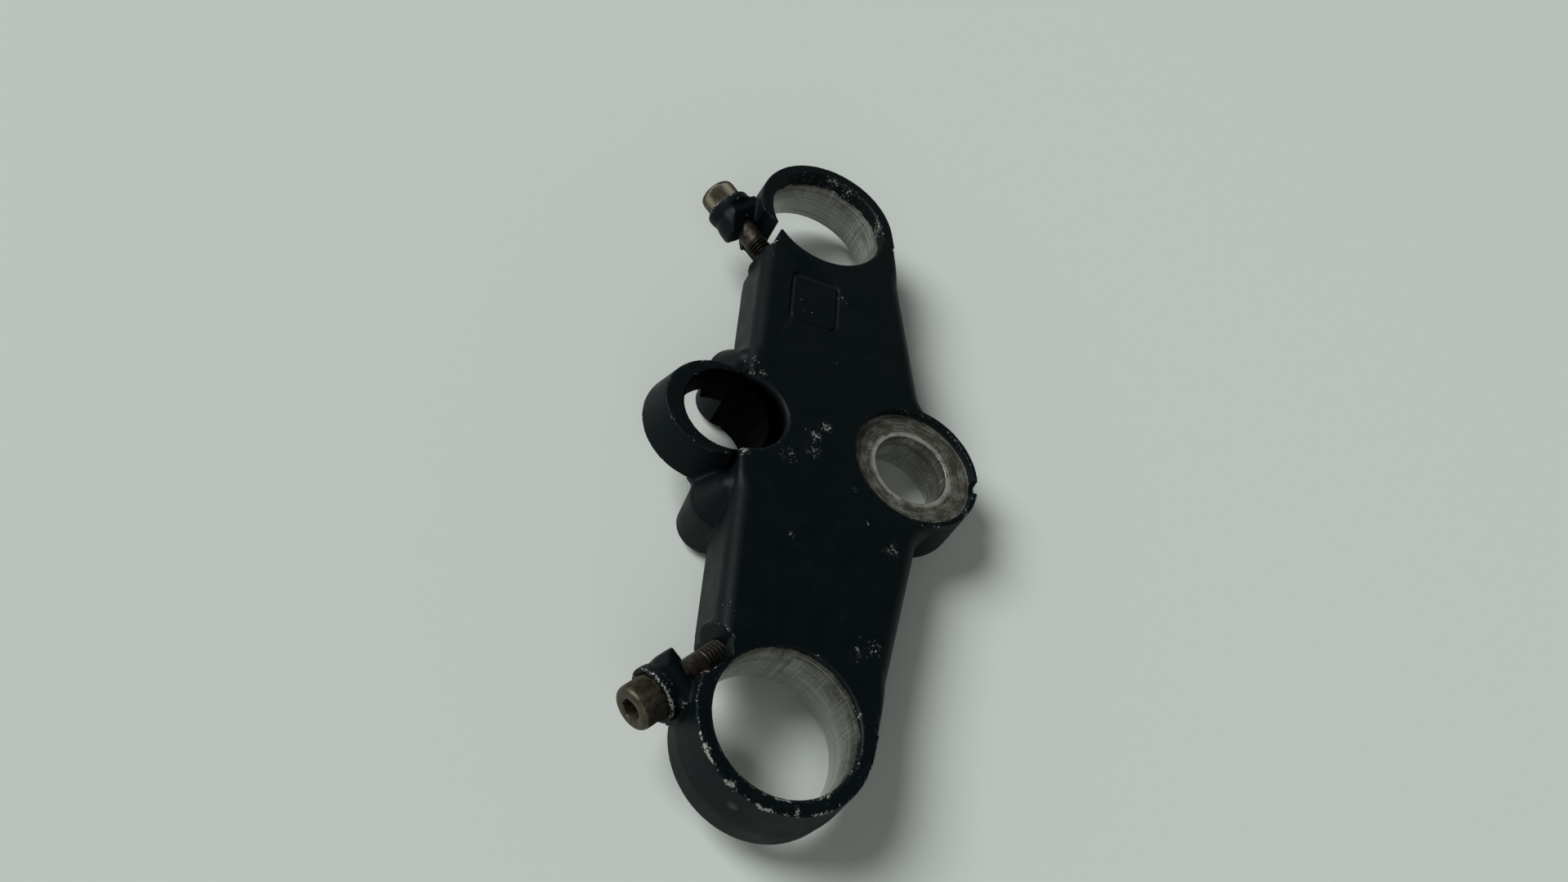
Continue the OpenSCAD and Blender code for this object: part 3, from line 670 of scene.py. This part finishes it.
# %% Turn the bores and stain them
# Turning marks are noise squeezed along the axis in a bore and along the radius on the
# floor, so they run round but fade in and out on the way. They are drawn about half a
# millimetre apart, coarser than a cutter's feed, or they would vanish at this distance.
bore_marks = add(tree, "VectorMath", {0: mm, 1: (0.03, 0.03, 2.2)}, operation="MULTIPLY")
bore_marks = add(tree, "TexNoise", {"Vector": bore_marks, "Scale": 1, "Detail": 2, "Roughness": 0.7})
outward = add(tree, "VectorMath", {0: flat}, operation="NORMALIZE")
outward = add(tree, "VectorMath", {0: outward, "Scale": 2.2}, operation="SCALE")
radial = add(tree, "Math", {0: to_stem, 1: 2.4}, operation="MULTIPLY")
radial = add(tree, "CombineXYZ", {2: radial})
floor_marks = add(tree, "VectorMath", {0: outward, 1: radial}, operation="ADD")
floor_marks = add(tree, "TexNoise", {"Vector": floor_marks, "Scale": 1, "Detail": 4, "Roughness": 0.75})
marks = add(tree, "Mix", {0: on_floor, 2: bore_marks, 3: floor_marks})

# The alloy is duller near the top of a bore, where grease and water collected.
depth = add(tree, "MapRange", {
    "Value": z, "From Min": -12, "From Max": 1, "To Min": 0, "To Max": 0.75,
})
stain = add(tree, "Math", {0: patchy, 1: 1.0, 2: depth}, operation="MULTIPLY_ADD")
stain = add(tree, "Math", {0: fine, 1: 0.7, 2: stain}, operation="MULTIPLY_ADD")
stain = add(tree, "MapRange", {"Value": stain, "From Min": 0.9, "From Max": 1.6})
metal = add(tree, "Mix", {0: stain, 6: linear("#bfc0ba"), 7: linear("#4f4d44")}, out=2, data_type="RGBA")
lines = add(tree, "MapRange", {"Value": marks, "From Min": 0.54, "From Max": 0.68, "To Max": 0.45})
metal = add(tree, "Mix", {0: lines, 6: metal, 7: linear("#e4e5df")}, out=2, data_type="RGBA")
pits = add(tree, "MapRange", {
    "Value": marks, "From Min": 0.34, "From Max": 0.47, "To Min": 0.5, "To Max": 0,
})
metal = add(tree, "Mix", {0: pits, 6: metal, 7: linear("#4b4942")}, out=2, data_type="RGBA")
# The counterbore's up-facing floor is painted about a quarter darker: a painted shade for the dark ceiling
# it mirrors.
floor_painted_shade = add(tree, "Mix", {0: on_floor, 6: (1, 1, 1, 1), 7: (0.72, 0.73, 0.72, 1)}, out=2, data_type="RGBA")
metal = add(tree, "Mix", {0: 1.0, 6: metal, 7: floor_painted_shade}, out=2, data_type="RGBA", blend_type="MULTIPLY")

# The nut's washer has polished a ring on the floor, broken where dirt sits in it.
ring_reach = add(tree, "Math", {0: fine, 1: 1.0, 2: to_stem}, operation="MULTIPLY_ADD")
ring = add(tree, "MapRange", {
    "Value": ring_reach, "From Min": stem_r + 1.7, "From Max": stem_r + 2.5, "To Min": 1, "To Max": 0,
})
clean = add(tree, "MapRange", {
    "Value": patchy, "From Min": 0.5, "From Max": 0.62, "To Min": 0.6, "To Max": 0.1,
})
ring = add(tree, "Math", {0: ring, 1: clean}, operation="MULTIPLY")
ring = add(tree, "Math", {0: ring, 1: on_floor}, operation="MULTIPLY")
metal = add(tree, "Mix", {0: ring, 6: metal, 7: linear("#a9aaa2")}, out=2, data_type="RGBA")

# %% Put the finish together
colour = add(tree, "Mix", {0: bare, 6: skin, 7: metal}, out=2, data_type="RGBA")
chip_metal = add(tree, "Math", {0: chips, 1: 0.3}, operation="MULTIPLY")
grimy = add(tree, "Math", {0: on_floor, 1: -0.65, 2: bare}, operation="MULTIPLY_ADD")
metallic = add(tree, "Math", {0: grimy, 1: chip_metal}, operation="MAXIMUM")
# The painted shade is also made a black metal, which has no pale gloss of its own as a paint has.
metallic = add(tree, "Math", {0: metallic, 1: lock_painted_shade}, operation="MAXIMUM")
coat_rough = add(tree, "MapRange", {
    "Value": patchy, "From Min": 0.3, "From Max": 0.7, "To Min": 0.46, "To Max": 0.58,
})
coat_rough = add(tree, "Mix", {0: lock_painted_shade, 2: coat_rough, 3: 0.9})
metal_rough = add(tree, "MapRange", {
    "Value": fine, "From Min": 0.3, "From Max": 0.7, "To Min": 0.36, "To Max": 0.52,
})
rough = add(tree, "Mix", {0: bare, 2: coat_rough, 3: metal_rough})

# Height in millimetres: orange peel, the step down at a chip, and the turning marks.
peel = add(tree, "TexNoise", {"Vector": mm, "Scale": 1 / 0.8, "Detail": 2})
height = add(tree, "Math", {0: peel, 1: 0.05}, operation="MULTIPLY")
height = add(tree, "Math", {0: chips, 1: -0.08, 2: height}, operation="MULTIPLY_ADD")
cut = add(tree, "Math", {0: marks, 1: bare}, operation="MULTIPLY")
height = add(tree, "Math", {0: cut, 1: 0.12, 2: height}, operation="MULTIPLY_ADD")
bump = add(tree, "Bump", {"Height": height, "Distance": MM, "Strength": 0.7})
shader = add(tree, "BsdfPrincipled", {
    "Base Color": colour,
    "Metallic": metallic,
    "Roughness": rough,
    "Normal": bump,
    "Specular IOR Level": 0.12,
})
add(tree, "OutputMaterial", {"Surface": shader})
casting.data.materials.clear()
casting.data.materials.append(enamel)
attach(casting, "root")
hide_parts("yoke_casting")
print("finish:", enamel.name, "with", len(tree.nodes), "nodes")

# %% [markdown]
# ## The pinch screws
# These are socket head screws, cold headed, knurled and rolled. Modelled by hand they
# are one long lathe profile whose radius also depends on the angle: straight ridges on
# the head, six flats in the socket, and a groove that climbs one pitch each turn for
# the thread. A boolean could cut the socket and a screw modifier could wind the thread,
# but one formula for the radius gives clean quads and keeps every size in sight.

# %% Lathe a piece from rings
def lathe(rings, sides):
    """Joins rings of points, each given as (place along the axis, radii), into one skin."""
    turn = np.arange(sides) / sides * 2 * math.pi
    radii = np.array([np.broadcast_to(radius, turn.shape) for _, radius in rings])
    along = np.array([[place] * sides for place, _ in rings])
    co = np.stack([along, radii * np.cos(turn), radii * np.sin(turn)], 2).reshape(-1, 3)
    faces = []
    for i in range(len(rings) - 1):
        for j in range(sides):
            k = (j + 1) % sides
            faces.append((i * sides + j, i * sides + k, (i + 1) * sides + k, (i + 1) * sides + j))
    radii = radii.ravel()
    for ring, order in ((0, -1), (len(rings) - 1, 1)):
        centre = len(co)
        co = np.vstack([co, [rings[ring][0], 0, 0]])
        radii = np.append(radii, 0)
        for j in range(sides):
            pair = (ring * sides + j, ring * sides + (j + 1) % sides)
            faces.append((centre,) + pair[::order])
    return co, radii, faces


# %% Shape the head, with its knurling and its socket
head_r = 6.5
head_h = 8.0
socket_half = 3.0
socket_depth = 4.0
ridges = 60
head_sides = ridges * 6
head_turn = np.arange(head_sides) / head_sides * 2 * math.pi


def hexagon(half_flat):
    sixth = math.pi / 3
    return half_flat / np.cos((head_turn + sixth / 2) % sixth - sixth / 2)


def head_rings(seat):
    """Rings from the seat up over the knurled side and down into the socket."""
    knurl_depth = 0.26
    ridge = np.abs((head_turn * ridges / math.pi) % 2 - 1)
    full = head_r - knurl_depth * (1 - ridge)
    plain = head_r - 0.14
    top = seat + head_h
    rings = [(seat, plain - 0.35), (seat + 0.3, plain), (seat + 0.9, plain)]
    rings += [(seat + 1.2 + 0.5 * i, full) for i in range(11)]
    rings += [(top - 1.15, plain), (top - 0.95, plain - 0.02), (top - 0.5, plain - 0.26)]
    rings += [(top - 0.15, plain - 0.7), (top, plain - 1.2)]
    mouth = socket_half / math.cos(math.pi / 6) + 0.12
    rings += [(top, mouth + 0.25), (top - 0.08, mouth)]
    rings += [(top - 0.4, hexagon(socket_half)), (top - socket_depth, hexagon(socket_half))]
    rings += [(top - socket_depth - 0.5, hexagon(socket_half * 0.6))]
    return rings


# %% Shape the shank and roll the thread
pitch = 1.25
thread_l = 28
shank_r = 3.92
root_r = 3.26
thread_sides = 72
thread_turn = np.arange(thread_sides) / thread_sides


def thread_rings(end, seat):
    """Rings from the screw's end up the thread and the plain shank to under the head."""
    steps = 12
    count = int(thread_l / pitch * steps)
    rings = [(end, root_r - 0.6)]
    for i in range(1, count + 1):
        along = end + i * pitch / steps
        flank = np.abs((along / pitch - thread_turn) % 1 - 0.5) * 2
        groove = np.clip(flank * 1.35 - 0.12, 0, 1)
        run_out = min(1, (count - i) / steps)
        start = min(1, i / (1.2 * steps))
        rings.append((along, shank_r - (shank_r - root_r) * groove * run_out - 0.7 * (1 - start)))
    rings += [(end + thread_l + 0.2, shank_r), (seat - 0.4, shank_r), (seat + 1, shank_r + 0.3)]
    return rings


# %% Build both screws where their solids are
def build_screw(node, name):
    """Builds one screw along its solid's axis, between the solid's own ends."""
    solid = coordinates(frame["nodes"][node].data)
    side = math.copysign(1, solid[:, 0].mean())
    along = Vector((side * math.cos(screw_angle), math.sin(screw_angle), 0))
    up = Vector((0, 0, 1))
    basis = np.array([along, up.cross(along), up])
    ranges = [(p.min(), p.max()) for p in (solid @ basis.T).T]
    end, head_top = ranges[0]
    seat = head_top - head_h
    co, radii, faces = lathe(thread_rings(end, seat), thread_sides)
    head_co, head_radii, head_faces = lathe(head_rings(seat), head_sides)
    faces += [tuple(i + len(co) for i in face) for face in head_faces]
    co = np.vstack([co, head_co])
    centre = np.array([0, sum(ranges[1]) / 2, sum(ranges[2]) / 2])
    mesh = bpy.data.meshes.new(name)
    mesh.from_pydata(((co + centre) @ basis * MM).tolist(), [], faces)
    radii = np.concatenate([radii, head_radii])
    mesh.attributes.new("radius", "FLOAT", "POINT").data.foreach_set("value", radii)
    mesh.attributes.new("under_head", "FLOAT", "POINT").data.foreach_set("value", seat - co[:, 0])
    mesh.shade_smooth()
    mesh.set_sharp_from_angle(angle=math.radians(32))
    piece = bpy.data.objects.new(name, mesh)
    bpy.context.scene.collection.objects.link(piece)
    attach(piece, "root")
    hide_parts(node)
    print("%s: %.1f mm long, %d faces" % (name, head_top - end, len(faces)))
    return piece


screws = [
    build_screw("pinch_screw_left", "left_pinch_screw"),
    build_screw("pinch_screw_right", "right_pinch_screw"),
]

# %% [markdown]
# ## The screws' finish
# The screws are high tensile steel, blackened by a hot oxide bath. The oxide is only a
# thin film, so it has worn to a brown bare steel on the ridges and rims and rusted in
# between. Oil and dirt darken the thread, and its roots are painted nearly black as a
# painted shade in the grooves. A metal shader with a dark brown colour gives that: it
# still glints on the rims, where a rough dark plastic would look flat.

# %% Blacken the steel and wear it
steel, tree = new_material("black_oxide_steel_worn_brown")
place = add(tree, "TexCoord", out="Object")
mm = add(tree, "VectorMath", {0: place, "Scale": 1 / MM}, operation="SCALE")
radius = add(tree, "Attribute", out="Fac", attribute_name="radius")
under_head = add(tree, "Attribute", out="Fac", attribute_name="under_head")
rust = add(tree, "TexNoise", {"Vector": mm, "Scale": 1 / 1.8, "Detail": 6, "Roughness": 0.65})
grit = add(tree, "TexNoise", {"Vector": mm, "Scale": 1 / 0.3, "Detail": 3})

tone = add(tree, "MapRange", {"Value": rust, "From Min": 0.35, "From Max": 0.65})
head = add(tree, "Mix", {0: tone, 6: linear("#36332c"), 7: linear("#5d5749")}, out=2, data_type="RGBA")
proud = add(tree, "MapRange", {
    "Value": radius, "From Min": head_r - 0.17, "From Max": head_r, "To Max": 0.5,
})
head = add(tree, "Mix", {0: proud, 6: head, 7: linear("#7c776b")}, out=2, data_type="RGBA")
on_thread = add(tree, "MapRange", {"Value": under_head, "From Min": 16.3, "From Max": 17.2})
# The thread is painted nearly black in its roots, a painted shade in the grooves, and lighter on its
# crests.
crest = add(tree, "MapRange", {"Value": radius, "From Min": root_r, "From Max": shank_r})
thread = add(tree, "Mix", {0: crest, 6: linear("#0c0b09"), 7: linear("#3b3832")}, out=2, data_type="RGBA")
# The plain shank is painted darker than the head, for oil and dirt and as painted shade between the ear
# and the ring.
shank = add(tree, "Mix", {0: tone, 6: linear("#24211d"), 7: linear("#4e4942")}, out=2, data_type="RGBA")
shaft = add(tree, "Mix", {0: on_thread, 6: shank, 7: thread}, out=2, data_type="RGBA")
below_head = add(tree, "Math", {0: under_head, 1: 0.0}, operation="GREATER_THAN")
colour = add(tree, "Mix", {0: below_head, 6: head, 7: shaft}, out=2, data_type="RGBA")

rough = add(tree, "MapRange", {
    "Value": rust, "From Min": 0.3, "From Max": 0.7, "To Min": 0.36, "To Max": 0.58,
})
bump = add(tree, "Bump", {"Height": grit, "Distance": 0.05 * MM, "Strength": 0.8})
shader = add(tree, "BsdfPrincipled", {
    "Base Color": colour,
    "Metallic": 0.9,
    "Roughness": rough,
    "Normal": bump,
})
add(tree, "OutputMaterial", {"Surface": shader})
for screw in screws:
    screw.data.materials.append(steel)
print("finish:", steel.name)
